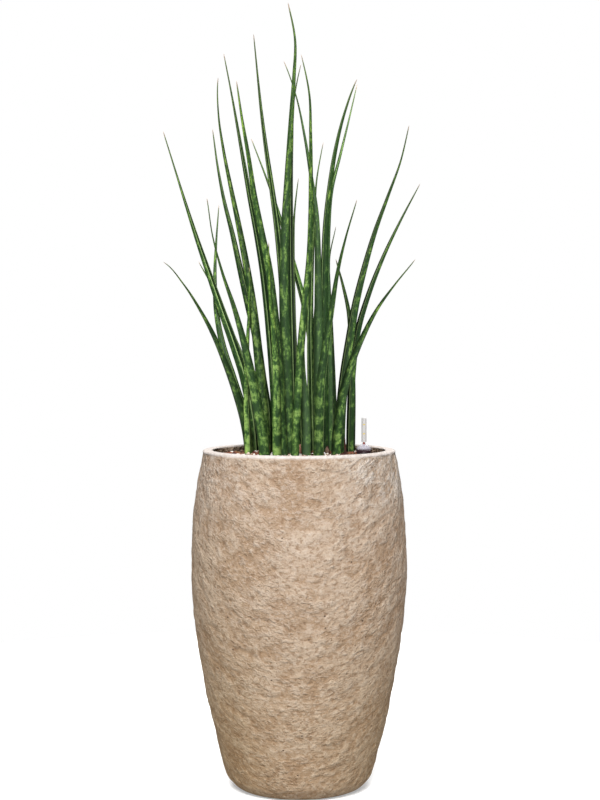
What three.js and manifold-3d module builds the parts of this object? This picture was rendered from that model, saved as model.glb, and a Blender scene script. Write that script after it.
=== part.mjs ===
// Cylindrical snake plant (Dracaena angolensis) in a tall rock-faced planter, with a water gauge.
// Millimetres, +Z up. The origin is the middle of the planter's flat base, on its axis.

import * as THREE from 'three';
import { mergeVertices } from 'three/addons/utils/BufferGeometryUtils.js';
import Module from 'manifold-3d';

const wasm = await Module();
wasm.setup();

// ---------- driving dimensions ----------

const GAP = 0.3;                    // clearance between pieces that touch
const WALL_SEGMENTS = 40;           // facets round the planter and the substrate

const PLANTER_HEIGHT = 678;
const BASE_RADIUS = 105;            // flat resting face
const FOOT_ROUNDING = 47;
const FOOT_ARC_END_DEG = -10;       // the foot's arc meets the wall here
const FOOT_STEPS = 4;
const WALL_THICKNESS = 20;
const FLOOR_THICKNESS = 26;
const FLOOR_CORNER = 22;            // sloped corner between the wall and the floor, inside
const MOUTH_RADIUS = 172;           // inner edge of the flat lip
const LIP_WIDTH = 21;
const LIP_OUTER_ROUNDING = 5;
const LIP_INNER_ROUNDING = 2.5;
const LIP_STEPS = 3;
const WALL_STATIONS = 12;           // from the foot to the lip
// outside of the wall between the foot and the lip: [radius, height]
const WALL_OUTSIDE = [[163, 82], [176.5, 138], [202, 272], [213.5, 365], [217.5, 450], [213, 540], [204, 620]];

const SOIL_LEVEL = 664;             // top of the substrate at the wall
const SOIL_MOUND = 4;               // how much higher it lies in the middle
const SOIL_RINGS = 6;
const SOIL_RELIEF = 1.6;            // height of its lumps, of two sizes
const COARSE_LUMPS = [17, 13];
const FINE_LUMPS = [8, 11];
const FINE_LUMP_SHARE = 0.6;
const INSIDE_STATIONS = [60, 140, 240, 340, 450, 560, 630];  // heights where the inside is drawn

const LEAF_SIDES_DEG = [0, 30, 66, 104, 142, 180, 218, 256, 294, 330];  // from the channel's middle
const CHANNEL_FLOOR = 0.66;         // of the leaf's radius
const CHANNEL_MARGIN = 1.03;        // raised margins on both sides of the channel
const STATION_SPACING = 76;         // a leaf is drawn about this often above the soil
const STATIONS_LEAST = 7;
const STATIONS_MOST = 12;
const LEAF_TIP_SHARE = 0.08;        // width just under the tip, of the width at the foot
const LEAF_TIP_LENGTH = 6;          // of the point that ends a leaf
const USUAL_TAPER = 1.2;            // a larger taper gives a leaf that is slender above its middle
const LEAN_POWER = 1.5;             // a leaf leans forwards or back more towards its tip
const ROOTED_DEPTH = 40;            // a leaf stands this deep in the substrate
const COLLAR_HEIGHT = 8;            // and stays upright for this much above it
const HOLE_SIDES = 10;
const HOLE_TOP = PLANTER_HEIGHT + 20;   // the holes are cut from well above the substrate

const GAUGE_X = 131;
const GAUGE_Y = 35;
const PIPE_RADIUS = 13;
const PIPE_WALL = 2;
const PIPE_BOTTOM = 380;
const PIPE_COLLAR_RADIUS = 14.4;
const PIPE_COLLAR_BOTTOM = 666;
const PIPE_TOP = 674;
const PIPE_TOP_CHAMFER = 2;
const CAP_RADIUS = 16;
const CAP_WALL = 1.3;
const CAP_BOTTOM = 667;
const CAP_SHOULDER = 675;
const CAP_NECK = 686;
// rounded shoulder of the cap: [share of the cap's radius, share of the way up to the neck]
const CAP_BLEND = [[0.96, 0.22], [0.84, 0.5], [0.62, 0.78], [0.42, 0.92]];
const CAP_BLEND_WALL = 0.8;         // the wall there, measured upright
const SIGHT_RADIUS = 5;
const SIGHT_TOP = 739;
const SIGHT_CHAMFER = 1;
const FLOAT_RADIUS = 9;
const FLOAT_HEIGHT = 60;
const FLOAT_BOTTOM_CHAMFER = 2;
const FLOAT_TOP_CHAMFER = 3;
const ROD_RADIUS = 1.3;
const POINTER_RADIUS = 2.5;
const POINTER_BOTTOM = 684;
const POINTER_TOP = 690;
const POINTER_CHAMFER = 1;
const SLOT_WIDTH = 3;
const SLOT_BOTTOM = 388;
const SLOT_HEIGHT = 40;
const GAUGE_SIDES = 16;

// Each leaf: width at the foot, foot [x, y], lean of the tip along y, direction that its channel
// faces (degrees from +X), taper where it isn't the usual one, and its course as [x, z] points above
// the soil, the last one the tip.
const LEAVES = [
  { name: 'leaf_01', width: 22, foot: [-90, 105], lean: -60, taper: 1.45, channel: -50,
    course: [[-98.5, 752], [-116, 834], [-151, 936], [-186, 1038], [-212, 1116], [-273, 1315]] },
  { name: 'leaf_02', width: 19, foot: [-101, 38], lean: -80, taper: 1.5, channel: 10,
    course: [[-106, 714], [-121, 775], [-157, 876], [-185, 936], [-224, 1001], [-259, 1044], [-267, 1050]] },
  { name: 'leaf_03', width: 19, foot: [-80, 132], lean: 25, taper: 1.3, channel: -65,
    course: [[-85, 719], [-116, 849], [-157, 947], [-177, 999], [-209, 1058]] },
  { name: 'leaf_04', width: 22, foot: [-68, -45], lean: -70, taper: 2.1, channel: 140,
    course: [[-77, 739], [-104, 877], [-136, 992], [-160, 1063], [-177, 1170]] },
  { name: 'leaf_05', width: 17, foot: [-100, 70], lean: 80, taper: 1.15, channel: -20,
    course: [[-114, 753], [-153.5, 875], [-168.5, 946], [-173, 1039], [-166, 1175]] },
  { name: 'leaf_06', width: 19, foot: [-63.5, 70], lean: 60, taper: 1.05, channel: -30,
    course: [[-65.5, 755], [-72.5, 797], [-86.3, 895], [-107, 981], [-143, 1141], [-160, 1208], [-178, 1329]] },
  { name: 'leaf_07', width: 21, foot: [-66, 20], lean: 45, taper: 1.3, channel: 20,
    course: [[-75, 796], [-96, 986], [-128, 1160], [-147, 1248], [-158, 1320], [-166, 1387], [-163, 1425]] },
  { name: 'leaf_08', width: 20, foot: [-42, 18], lean: 25, channel: -75,
    course: [[-53, 856], [-72, 1036], [-101, 1196], [-134, 1382], [-151, 1470]] },
  { name: 'leaf_09', width: 19, foot: [-32, -36], lean: -20, taper: 0.85, channel: 30,
    course: [[-42, 877], [-62, 1054], [-83, 1151], [-95, 1233], [-109, 1314], [-122, 1402]] },
  { name: 'leaf_10', width: 20, foot: [-25, 62], lean: 15, taper: 1.1, channel: -100,
    course: [[-25, 855], [-39, 1078], [-74, 1338], [-92, 1514]] },
  { name: 'leaf_11', width: 19, foot: [43, 105], lean: 30, channel: -120,
    course: [[33, 834], [14.5, 953], [-8, 1039], [-49, 1177], [-99, 1311]] },
  { name: 'leaf_12', width: 23, foot: [-20, -5], lean: 10, taper: 1, channel: 75,
    course: [[-24, 817], [-30, 1035], [-19, 1273], [-8, 1462], [-9, 1504], [-22, 1564]] },
  { name: 'leaf_13', width: 20, foot: [39, 5], lean: 60, taper: 1.4, channel: 160,
    course: [[37, 1096], [32, 1177], [20, 1248], [6, 1334], [-15, 1419], [-31, 1458]] },
  { name: 'leaf_14', width: 18, foot: [-7, 26], lean: 70, channel: -60,
    course: [[-13, 896], [-17, 1097], [-14, 1300], [-8, 1403], [4, 1456]] },
  { name: 'leaf_15', width: 16, foot: [-8, -80], lean: -10, taper: 0.95, channel: 35,
    course: [[4, 887], [21, 1071], [23, 1226], [22, 1312], [18, 1389], [4, 1448]] },
  { name: 'leaf_16', width: 16, foot: [27, 60], lean: 60, channel: -110,
    course: [[23, 936], [30, 1130], [38, 1238], [50, 1301]] },
  { name: 'leaf_17', width: 16, foot: [0, 68], lean: 50, taper: 1.1, channel: -80,
    course: [[-2, 745], [-10.5, 885], [-11.5, 1110], [-7, 1182], [-1, 1228]] },
  { name: 'leaf_18', width: 19, foot: [51, 45], lean: -15, taper: 0.85, channel: -160,
    course: [[51, 976], [55, 1137], [73, 1276], [86, 1330], [101, 1383], [116, 1417]] },
  { name: 'leaf_19', width: 17, foot: [60, 85], lean: 20, taper: 1.1, channel: -125,
    course: [[60, 854], [57, 976], [61, 1150], [70, 1221], [87, 1283], [119, 1418]] },
  { name: 'leaf_20', width: 21, foot: [82.5, 40], lean: -15, taper: 1.35, channel: 200,
    course: [[84.5, 750], [88.5, 801], [97.5, 862], [111.5, 956], [149, 1102], [205, 1259], [220, 1325]] },
  { name: 'leaf_21', width: 16, foot: [104, 70], lean: 10, taper: 1, channel: 215,
    course: [[105.5, 760], [108, 814], [113.5, 885], [144.5, 997], [188, 1101], [246, 1213]] },
  { name: 'leaf_22', width: 20, foot: [73.5, -25], lean: -110, taper: 1.55, channel: 45,
    course: [[81, 758], [94, 820], [110.5, 871], [154, 961], [223, 1052]] },
  { name: 'leaf_23', width: 20, foot: [38, -70], lean: -60, taper: 1.4, channel: 15,
    course: [[42, 809], [60, 936], [80, 1055], [111, 1166]] },
  { name: 'leaf_24', width: 17, foot: [72, 110], lean: 60, taper: 1.4, channel: -130,
    course: [[68.5, 810], [66.5, 885], [64, 978], [62, 1054], [77, 1132]] },
  { name: 'leaf_25', width: 16, foot: [108, 115], lean: -20, taper: 0.8, channel: -140,
    course: [[109, 813], [103, 944], [92, 998], [75, 1061]] },
  { name: 'leaf_26', width: 18, foot: [-43, -65], lean: -60, taper: 1.1, channel: 60,
    course: [[-45, 858], [-58, 1022], [-58, 1085]] },
  { name: 'leaf_27', width: 13, foot: [-102, 5], lean: 5, taper: 1.1, channel: -20,
    course: [[-105, 826], [-99, 976], [-99, 1041]] },
  { name: 'leaf_28', width: 18, foot: [14.5, -48], lean: 12, taper: 1.1, channel: 100,
    course: [[13.8, 755], [7.5, 812], [5.2, 877], [9, 950], [17, 1046]] },
  { name: 'leaf_29', width: 19, foot: [-17, 112], lean: 50, channel: -90,
    course: [[-27, 916], [-25, 1061], [-21, 1161]] },
  { name: 'leaf_30', width: 18, foot: [-43, 84], lean: 10, channel: -70,
    course: [[-47, 875], [-58, 1028]] },
  { name: 'leaf_31', width: 19, foot: [18, 125], lean: 35, channel: -85,
    course: [[27, 812], [39, 1040], [37, 1100]] },
];

// Dry sheaths that are left of old leaves: a thin curved scale each, standing in the substrate.
const SHEATHS = [
  { name: 'sheath_1', width: 8, height: 27, foot: [-57, -20], faces: 200, tilt: 4 },
  { name: 'sheath_2', width: 7, height: 34, foot: [92, 8], faces: -60, tilt: -3 },
  { name: 'sheath_3', width: 15, height: 13, foot: [57, 12], faces: -110, tilt: 3 },
  { name: 'sheath_4', width: 10, height: 30, foot: [-60, 96], faces: 110, tilt: 6 },
  { name: 'sheath_5', width: 11, height: 24, foot: [22, 92], faces: 60, tilt: -4 },
];
const SHEATH_THICKNESS = 1.6;
const SHEATH_OPEN_DEG = 75;         // half of the arc that a sheath wraps
const SHEATH_ARC_STEPS = 4;
const SHEATH_STATIONS = 5;
const SHEATH_DEPTH = 14;
const SHEATH_NARROWING = 0.75;      // share of its width that a sheath loses up to its tip
const SHEATH_THINNING = 0.6;        // share of its thickness

// ---------- materials ----------

function material(colour, roughness, metalness = 0) {
  return new THREE.MeshStandardMaterial({ color: colour, roughness, metalness });
}

const STONE = material('#c9b7a3', 0.9);
const SUBSTRATE = material('#5b473b', 0.95);
const LEAF = material('#41632f', 0.5);
const DRY_SHEATH = material('#8a5a3c', 0.85);
const DARK_PLASTIC = material('#2c2629', 0.3);
const CLEAR_PLASTIC = material('#d9d9da', 0.15);
const RED_PLASTIC = material('#a3271b', 0.4);

// ---------- helpers ----------

// A closed surface through rings of points, from one end point to the other.
function closedSurface(start, rings, end) {
  const positions = [start, ...rings.flat(), end].flatMap((p) => [p.x, p.y, p.z]);
  const sides = rings[0].length;
  const endIndex = 1 + rings.length * sides;
  const index = [];
  for (let side = 0; side < sides; side += 1) {
    const next = (side + 1) % sides;
    index.push(0, 1 + next, 1 + side);
    for (let ring = 0; ring < rings.length - 1; ring += 1) {
      const low = 1 + ring * sides;
      const high = low + sides;
      index.push(low + side, low + next, high + next);
      index.push(low + side, high + next, high + side);
    }
    const last = endIndex - sides;
    index.push(last + side, last + next, endIndex);
  }
  const geometry = new THREE.BufferGeometry();
  geometry.setAttribute('position', new THREE.Float32BufferAttribute(positions, 3));
  geometry.setIndex(index);
  return geometry;
}

function revolved(profile, segments) {
  const points = profile.map(([radius, height]) => new THREE.Vector2(radius, height));
  return new THREE.LatheGeometry(points, segments).rotateX(Math.PI / 2);
}

function solidOf(geometry) {
  const plain = geometry.clone();
  plain.deleteAttribute('normal');
  plain.deleteAttribute('uv');
  const merged = mergeVertices(plain, 1e-4);
  const vertProperties = new Float32Array(merged.attributes.position.array);
  const triVerts = new Uint32Array(merged.index.array);
  return new wasm.Manifold(new wasm.Mesh({ numProp: 3, vertProperties, triVerts }));
}

function geometryOf(solid) {
  const mesh = solid.getMesh();
  const geometry = new THREE.BufferGeometry();
  geometry.setAttribute('position', new THREE.BufferAttribute(mesh.vertProperties, 3));
  geometry.setIndex(new THREE.BufferAttribute(mesh.triVerts, 1));
  return geometry;
}

// An upright post whose flats stand at the given radius, used to cut holes.
function post(x, y, radius, bottom, top, sides = HOLE_SIDES) {
  const cornerRadius = radius / Math.cos(Math.PI / sides);
  const cylinder = new THREE.CylinderGeometry(cornerRadius, cornerRadius, top - bottom, sides);
  return solidOf(cylinder.rotateX(Math.PI / 2).translate(x, y, (top + bottom) / 2));
}

function named(name, geometry, look) {
  const mesh = new THREE.Mesh(geometry, look);
  mesh.name = name;
  return mesh;
}

// ---------- planter ----------

const footArcEnd = THREE.MathUtils.degToRad(FOOT_ARC_END_DEG);

function arc(centreRadius, centreHeight, radius, fromAngle, toAngle, steps) {
  const points = [];
  for (let step = 0; step <= steps; step += 1) {
    const angle = THREE.MathUtils.lerp(fromAngle, toAngle, step / steps);
    points.push([centreRadius + radius * Math.cos(angle), centreHeight + radius * Math.sin(angle)]);
  }
  return points;
}

const footArc = arc(BASE_RADIUS, FOOT_ROUNDING, FOOT_ROUNDING, -Math.PI / 2, footArcEnd, FOOT_STEPS);
const lipOuterArc = arc(
  MOUTH_RADIUS + LIP_WIDTH - LIP_OUTER_ROUNDING, PLANTER_HEIGHT - LIP_OUTER_ROUNDING,
  LIP_OUTER_ROUNDING, 0, Math.PI / 2, LIP_STEPS,
);
const lipInnerArc = arc(
  MOUTH_RADIUS + LIP_INNER_ROUNDING, PLANTER_HEIGHT - LIP_INNER_ROUNDING,
  LIP_INNER_ROUNDING, Math.PI / 2, Math.PI, LIP_STEPS,
);
const wallKnots = [footArc.at(-1), ...WALL_OUTSIDE, lipOuterArc[0]];
const wallCurve = new THREE.SplineCurve(wallKnots.map(([r, z]) => new THREE.Vector2(r, z)));

// Radius of the outside at a height above the foot, found by halving.
function outsideRadius(height) {
  const halvings = 40;
  let low = 0;
  let high = 1;
  for (let pass = 0; pass < halvings; pass += 1) {
    const middle = (low + high) / 2;
    if (wallCurve.getPoint(middle).y < height) {
      low = middle;
    } else {
      high = middle;
    }
  }
  return wallCurve.getPoint(low).x;
}

// Inside of the wall from the floor up, [radius, height].
function insideProfile() {
  const wall = INSIDE_STATIONS.map((height) => [outsideRadius(height) - WALL_THICKNESS, height]);
  return [[wall[0][0] - FLOOR_CORNER, FLOOR_THICKNESS], ...wall];
}

function buildPlanter() {
  const outside = [];
  for (let step = 1; step < WALL_STATIONS; step += 1) {
    const point = wallCurve.getPoint(step / WALL_STATIONS);
    outside.push([point.x, point.y]);
  }
  const inside = insideProfile().reverse();
  const lip = [...lipOuterArc, ...lipInnerArc];
  const profile = [[0, 0], ...footArc, ...outside, ...lip, ...inside, [0, FLOOR_THICKNESS]];
  return named('planter', revolved(profile, WALL_SEGMENTS), STONE);
}

// ---------- substrate ----------

function soilHeight(x, y) {
  const share = Math.hypot(x, y) / MOUTH_RADIUS;
  const mound = SOIL_MOUND * (1 - share * share);
  const coarse = Math.sin(x / COARSE_LUMPS[0] + 1) * Math.cos(y / COARSE_LUMPS[1]);
  const fine = Math.sin(x / FINE_LUMPS[0] + y / FINE_LUMPS[1]);
  return SOIL_LEVEL + mound + SOIL_RELIEF * (coarse + FINE_LUMP_SHARE * fine);
}

function ringOf(radius, heightAt) {
  const ring = [];
  for (let segment = 0; segment < WALL_SEGMENTS; segment += 1) {
    const angle = (segment / WALL_SEGMENTS) * 2 * Math.PI;
    const x = radius * Math.sin(angle);
    const y = -radius * Math.cos(angle);
    ring.push(new THREE.Vector3(x, y, heightAt(x, y)));
  }
  return ring;
}

function buildSubstrate() {
  const [mouthRadius, mouthHeight] = lipInnerArc.at(-1);
  const upperWall = insideProfile().at(-1);
  const nearTop = SOIL_LEVEL - SOIL_RELIEF * 2;
  const slope = (mouthRadius - upperWall[0]) / (mouthHeight - upperWall[1]);
  const topRadius = upperWall[0] + slope * (nearTop - upperWall[1]) - 2 * GAP;
  const rings = insideProfile().map(([radius, height], station) => {
    const lift = station === 0 ? GAP : 0;
    return ringOf(radius - 2 * GAP, () => height + lift);
  });
  rings.push(ringOf(topRadius, () => nearTop));
  for (let ring = SOIL_RINGS - 1; ring > 0; ring -= 1) {
    rings.push(ringOf((topRadius * ring) / SOIL_RINGS, soilHeight));
  }
  const bottom = new THREE.Vector3(0, 0, FLOOR_THICKNESS + GAP);
  const top = new THREE.Vector3(0, 0, soilHeight(0, 0));
  let soil = solidOf(closedSurface(bottom, rings, top));

  const holes = [];
  for (const leaf of LEAVES) {
    const radius = (leaf.width / 2) * CHANNEL_MARGIN + GAP;
    holes.push(post(...leaf.foot, radius, SOIL_LEVEL - ROOTED_DEPTH - GAP, HOLE_TOP));
  }
  for (const sheath of SHEATHS) {
    holes.push(post(...sheath.foot, sheath.width / 2 + GAP, SOIL_LEVEL - SHEATH_DEPTH - GAP, HOLE_TOP));
  }
  holes.push(post(GAUGE_X, GAUGE_Y, PIPE_RADIUS + GAP, PIPE_BOTTOM - GAP, HOLE_TOP, GAUGE_SIDES));
  holes.push(post(GAUGE_X, GAUGE_Y, CAP_RADIUS + GAP, PIPE_COLLAR_BOTTOM - GAP, HOLE_TOP, GAUGE_SIDES));
  for (const hole of holes) {
    soil = soil.subtract(hole);
  }
  return named('substrate', geometryOf(soil), SUBSTRATE);
}

// ---------- leaves ----------

function leafCourse(leaf) {
  const [footX, footY] = leaf.foot;
  const start = SOIL_LEVEL + COLLAR_HEIGHT;
  const tipHeight = leaf.course.at(-1)[1];
  const points = [new THREE.Vector3(footX, footY, start)];
  for (const [x, z] of leaf.course) {
    const rise = (z - start) / (tipHeight - start);
    points.push(new THREE.Vector3(x, footY + leaf.lean * rise ** LEAN_POWER, z));
  }
  return new THREE.CatmullRomCurve3(points, false, 'centripetal');
}

// Share of the foot's width that a leaf still has at a share of its length above the soil.
function widthShare(share, taper) {
  const swell = Math.sin((Math.PI / 2) * (1 - share)) ** taper;
  return LEAF_TIP_SHARE + (1 - LEAF_TIP_SHARE) * swell;
}

function leafRing(centre, along, channelFacing, radius) {
  const forward = channelFacing.clone().projectOnPlane(along).normalize();
  const sideways = new THREE.Vector3().crossVectors(along, forward);
  return LEAF_SIDES_DEG.map((degrees, corner) => {
    const angle = THREE.MathUtils.degToRad(degrees);
    const isFloor = corner === 0;
    const isMargin = corner === 1 || corner === LEAF_SIDES_DEG.length - 1;
    const reach = radius * (isFloor ? CHANNEL_FLOOR : isMargin ? CHANNEL_MARGIN : 1);
    return centre.clone()
      .addScaledVector(forward, reach * Math.cos(angle))
      .addScaledVector(sideways, reach * Math.sin(angle));
  });
}

function buildLeaf(leaf) {
  const up = new THREE.Vector3(0, 0, 1);
  const facing = new THREE.Vector3(1, 0, 0).applyAxisAngle(up, THREE.MathUtils.degToRad(leaf.channel));
  const course = leafCourse(leaf);
  const length = course.getLength();
  const collar = course.getPointAt(0);
  const root = new THREE.Vector3(collar.x, collar.y, SOIL_LEVEL - ROOTED_DEPTH);
  const radius = leaf.width / 2;
  const wanted = Math.round(length / STATION_SPACING);
  const stations = THREE.MathUtils.clamp(wanted, STATIONS_LEAST, STATIONS_MOST);
  const shares = [];
  for (let station = 1; station < stations; station += 1) {
    shares.push(station / stations);
  }
  shares.push(1 - LEAF_TIP_LENGTH / length);
  const rings = [leafRing(root, up, facing, radius), leafRing(collar, up, facing, radius)];
  for (const share of shares) {
    const centre = course.getPointAt(share);
    const along = course.getTangentAt(share);
    const reach = radius * widthShare(share, leaf.taper ?? USUAL_TAPER);
    rings.push(leafRing(centre, along, facing, reach));
  }
  return named(leaf.name, closedSurface(root, rings, course.getPointAt(1)), LEAF);
}

// ---------- dry sheaths ----------

function sheathRing(centre, faceAngle, radius, thickness) {
  const open = THREE.MathUtils.degToRad(SHEATH_OPEN_DEG);
  const ring = [];
  for (let step = 0; step <= SHEATH_ARC_STEPS; step += 1) {
    const angle = faceAngle + THREE.MathUtils.lerp(-open, open, step / SHEATH_ARC_STEPS);
    ring.push([angle, radius]);
  }
  for (let step = SHEATH_ARC_STEPS; step >= 0; step -= 1) {
    const angle = faceAngle + THREE.MathUtils.lerp(-open, open, step / SHEATH_ARC_STEPS);
    ring.push([angle, radius - thickness]);
  }
  return ring.map(([angle, reach]) => new THREE.Vector3(
    centre.x + reach * Math.cos(angle),
    centre.y + reach * Math.sin(angle),
    centre.z,
  ));
}

function buildSheath(sheath) {
  const face = THREE.MathUtils.degToRad(sheath.faces);
  const [x, y] = sheath.foot;
  const bottom = SOIL_LEVEL - SHEATH_DEPTH;
  const collar = SOIL_LEVEL + COLLAR_HEIGHT;
  const radius = sheath.width / 2;
  const wallReach = radius - SHEATH_THICKNESS / 2;
  const rings = [sheathRing(new THREE.Vector3(x, y, bottom), face, radius, SHEATH_THICKNESS)];
  for (let station = 0; station < SHEATH_STATIONS; station += 1) {
    const share = station / SHEATH_STATIONS;
    const lean = sheath.tilt * share * share;
    const centre = new THREE.Vector3(
      x + lean * Math.cos(face),
      y + lean * Math.sin(face),
      collar + sheath.height * share,
    );
    const reach = radius * (1 - SHEATH_NARROWING * share);
    rings.push(sheathRing(centre, face, reach, SHEATH_THICKNESS * (1 - SHEATH_THINNING * share)));
  }
  const start = new THREE.Vector3(x + wallReach * Math.cos(face), y + wallReach * Math.sin(face), bottom);
  const tip = new THREE.Vector3(
    x + sheath.tilt * Math.cos(face),
    y + sheath.tilt * Math.sin(face),
    collar + sheath.height,
  );
  return named(sheath.name, closedSurface(start, rings, tip), DRY_SHEATH);
}

// ---------- water gauge ----------

function gaugePiece(name, profile, look) {
  return named(name, revolved(profile, GAUGE_SIDES).translate(GAUGE_X, GAUGE_Y, 0), look);
}

function buildPipe() {
  const bore = PIPE_RADIUS - PIPE_WALL;
  const profile = [
    [0, PIPE_BOTTOM], [PIPE_RADIUS, PIPE_BOTTOM], [PIPE_RADIUS, PIPE_COLLAR_BOTTOM],
    [PIPE_COLLAR_RADIUS, PIPE_COLLAR_BOTTOM], [PIPE_COLLAR_RADIUS, PIPE_TOP - PIPE_TOP_CHAMFER],
    [PIPE_COLLAR_RADIUS - PIPE_TOP_CHAMFER, PIPE_TOP], [bore, PIPE_TOP],
    [bore, PIPE_BOTTOM + PIPE_WALL], [0, PIPE_BOTTOM + PIPE_WALL],
  ];
  const pipe = gaugePiece('gauge_pipe', profile, DARK_PLASTIC);
  let solid = solidOf(pipe.geometry);
  for (const turn of [0, Math.PI / 2]) {
    const slot = new THREE.BoxGeometry(PIPE_RADIUS * 4, SLOT_WIDTH, SLOT_HEIGHT).rotateZ(turn);
    solid = solid.subtract(solidOf(slot.translate(GAUGE_X, GAUGE_Y, SLOT_BOTTOM + SLOT_HEIGHT / 2)));
  }
  pipe.geometry = geometryOf(solid);
  return pipe;
}

// Clear cap and sight tube in one piece: a hollow bell that narrows to a closed tube.
function buildSightTube() {
  const straight = [[CAP_RADIUS, CAP_BOTTOM], [CAP_RADIUS, CAP_SHOULDER]];
  const outer = [...straight];
  for (const [radiusShare, heightShare] of CAP_BLEND) {
    outer.push([CAP_RADIUS * radiusShare, THREE.MathUtils.lerp(CAP_SHOULDER, CAP_NECK, heightShare)]);
  }
  outer.push([SIGHT_RADIUS, CAP_NECK]);
  const inner = outer.map(([radius, height], knot) => {
    const drop = knot < straight.length ? 0 : CAP_BLEND_WALL;
    return [radius - CAP_WALL, height - drop];
  });
  inner.reverse();
  const profile = [
    ...outer,
    [SIGHT_RADIUS, SIGHT_TOP - SIGHT_CHAMFER], [SIGHT_RADIUS - SIGHT_CHAMFER, SIGHT_TOP], [0, SIGHT_TOP],
    [0, SIGHT_TOP - CAP_WALL], [SIGHT_RADIUS - CAP_WALL, SIGHT_TOP - CAP_WALL],
    ...inner,
  ];
  const solid = solidOf(revolved([...profile, profile[0]], GAUGE_SIDES));
  const geometry = geometryOf(solid).translate(GAUGE_X, GAUGE_Y, 0);
  return named('gauge_sight_tube', geometry, CLEAR_PLASTIC);
}

// Float, rod and red pointer in one piece, at its lowest position.
function buildFloat() {
  const bottom = PIPE_BOTTOM + PIPE_WALL + GAP;
  const top = bottom + FLOAT_HEIGHT;
  const profile = [
    [0, bottom], [FLOAT_RADIUS - FLOAT_BOTTOM_CHAMFER, bottom],
    [FLOAT_RADIUS, bottom + FLOAT_BOTTOM_CHAMFER], [FLOAT_RADIUS, top - FLOAT_TOP_CHAMFER],
    [FLOAT_RADIUS - FLOAT_TOP_CHAMFER, top], [ROD_RADIUS, top],
    [ROD_RADIUS, POINTER_BOTTOM], [POINTER_RADIUS, POINTER_BOTTOM],
    [POINTER_RADIUS, POINTER_TOP - POINTER_CHAMFER], [POINTER_RADIUS - POINTER_CHAMFER, POINTER_TOP],
    [0, POINTER_TOP],
  ];
  return gaugePiece('gauge_float', profile, RED_PLASTIC);
}

// ---------- the plant ----------

const plant = new THREE.Group();
plant.add(buildPlanter(), buildSubstrate());
for (const leaf of LEAVES) {
  plant.add(buildLeaf(leaf));
}
for (const sheath of SHEATHS) {
  plant.add(buildSheath(sheath));
}
plant.add(buildPipe(), buildSightTube(), buildFloat());

export default plant;
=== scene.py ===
import itertools
import math

import bpy
import numpy as np
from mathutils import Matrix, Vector
from mathutils.bvhtree import BVHTree
from numpy.linalg import norm


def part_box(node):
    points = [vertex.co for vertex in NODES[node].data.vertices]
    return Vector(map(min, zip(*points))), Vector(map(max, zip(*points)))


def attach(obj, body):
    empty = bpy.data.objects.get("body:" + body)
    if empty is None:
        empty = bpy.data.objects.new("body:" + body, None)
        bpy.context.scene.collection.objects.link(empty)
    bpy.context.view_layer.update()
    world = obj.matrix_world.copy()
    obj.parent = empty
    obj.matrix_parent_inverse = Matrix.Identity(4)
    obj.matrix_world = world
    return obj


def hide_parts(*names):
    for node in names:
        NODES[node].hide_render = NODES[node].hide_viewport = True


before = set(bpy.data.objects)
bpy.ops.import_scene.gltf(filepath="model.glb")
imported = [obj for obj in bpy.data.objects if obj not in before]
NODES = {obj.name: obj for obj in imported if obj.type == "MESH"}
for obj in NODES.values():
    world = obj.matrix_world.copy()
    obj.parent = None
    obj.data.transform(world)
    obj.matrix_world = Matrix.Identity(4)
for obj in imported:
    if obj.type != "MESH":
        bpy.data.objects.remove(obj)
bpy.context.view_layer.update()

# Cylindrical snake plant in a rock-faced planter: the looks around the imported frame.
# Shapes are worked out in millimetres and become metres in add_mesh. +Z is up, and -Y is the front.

MM = 0.001
random = np.random.default_rng(20)

PLANT_BODY = "planter"
FLOAT_BODY = "float"
POINTER_FOOT, POINTER_TOP = 684, 690  # heights of the gauge's red pointer at rest, in millimetres

# ---------- numbers that give the looks, lengths in millimetres ----------

WALL_COLUMNS = 380  # points of the planter's mesh round its axis
WALL_SPACING = 3.3  # between its rows on the wall
LIP_SPACING = 1.8  # and over the lip
LIP_MARGIN = 8  # the lip's close rows go on for this long on both sides
LIP_BAND = (671.0, 674.5)  # heights between which the rock turns into the smooth lip, outside
LIP_EDGE = (673.5, 676.0)  # and the rough wall into the lip, inside
FINE_INSIDE = 640  # the wall inside has close rows down to this height
ROUGH_INSIDE = 600  # and is rough down to this one, which the substrate hides
RELIEF_DEPTH = 4.8  # of the chipped rock face
INSIDE_DEPTH = 2.4  # of the rough wall inside
LIP_UNEVENNESS = 0.5
FOOT_CALM = 14.0  # the face turns smooth over this height at the foot
CHIP_SLANT = -0.42  # chips rise towards the sides of the planter, seen from the front
CHIP_FLATNESS = 1.4  # and are this much longer than high
FLOW_UNIT = 10  # length to one unit of the rock's colours

ROCK_SHARE = 0.56  # the rock's own colour is this share of the one seen in the strong light
LEAF_SHARE = 0.8  # and the leaves' own colour is this share

LEAF_STATIONS = 120  # steps of a leaf's mesh from its collar to its tip
BURIED_STATIONS = 4  # rows in its hole, up to the collar
TIP_CROWDING = 1.12  # above 1, the rows lie closer together towards the tip
LEAST_RADIUS = 0.25  # of a leaf's last rows
CHANNEL_DEPTH = 0.34  # of the leaf's channel, a share of the leaf's radius, as in the frame
CHANNEL_HALF_DEG = 16  # half of its width round the leaf
MARGIN_DEG = 31  # where its raised margins are, from its middle
MARGIN_HALF_DEG = 7  # half of a margin's width
MARGIN_RISE = 0.03  # a share of the radius, as the next one is
RIB_DEPTH = 0.012
RIB_COUNT = 7  # faint ribs on each half of the leaf
RIB_START_DEG = (40, 70)  # they begin between these, from the channel's middle
CLOSE_DEG = 48  # up to here from the channel's middle, the section's points are close together
CLOSE_STEP_DEG = 6  # and this far apart
WIDE_STEPS = 20  # steps round the rest of the section
MARKING_UNIT = 11.0  # length of leaf to one unit of the markings
MARKING_SHIFT = 91.7  # units from one leaf's markings to the next one's, so that they differ
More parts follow.
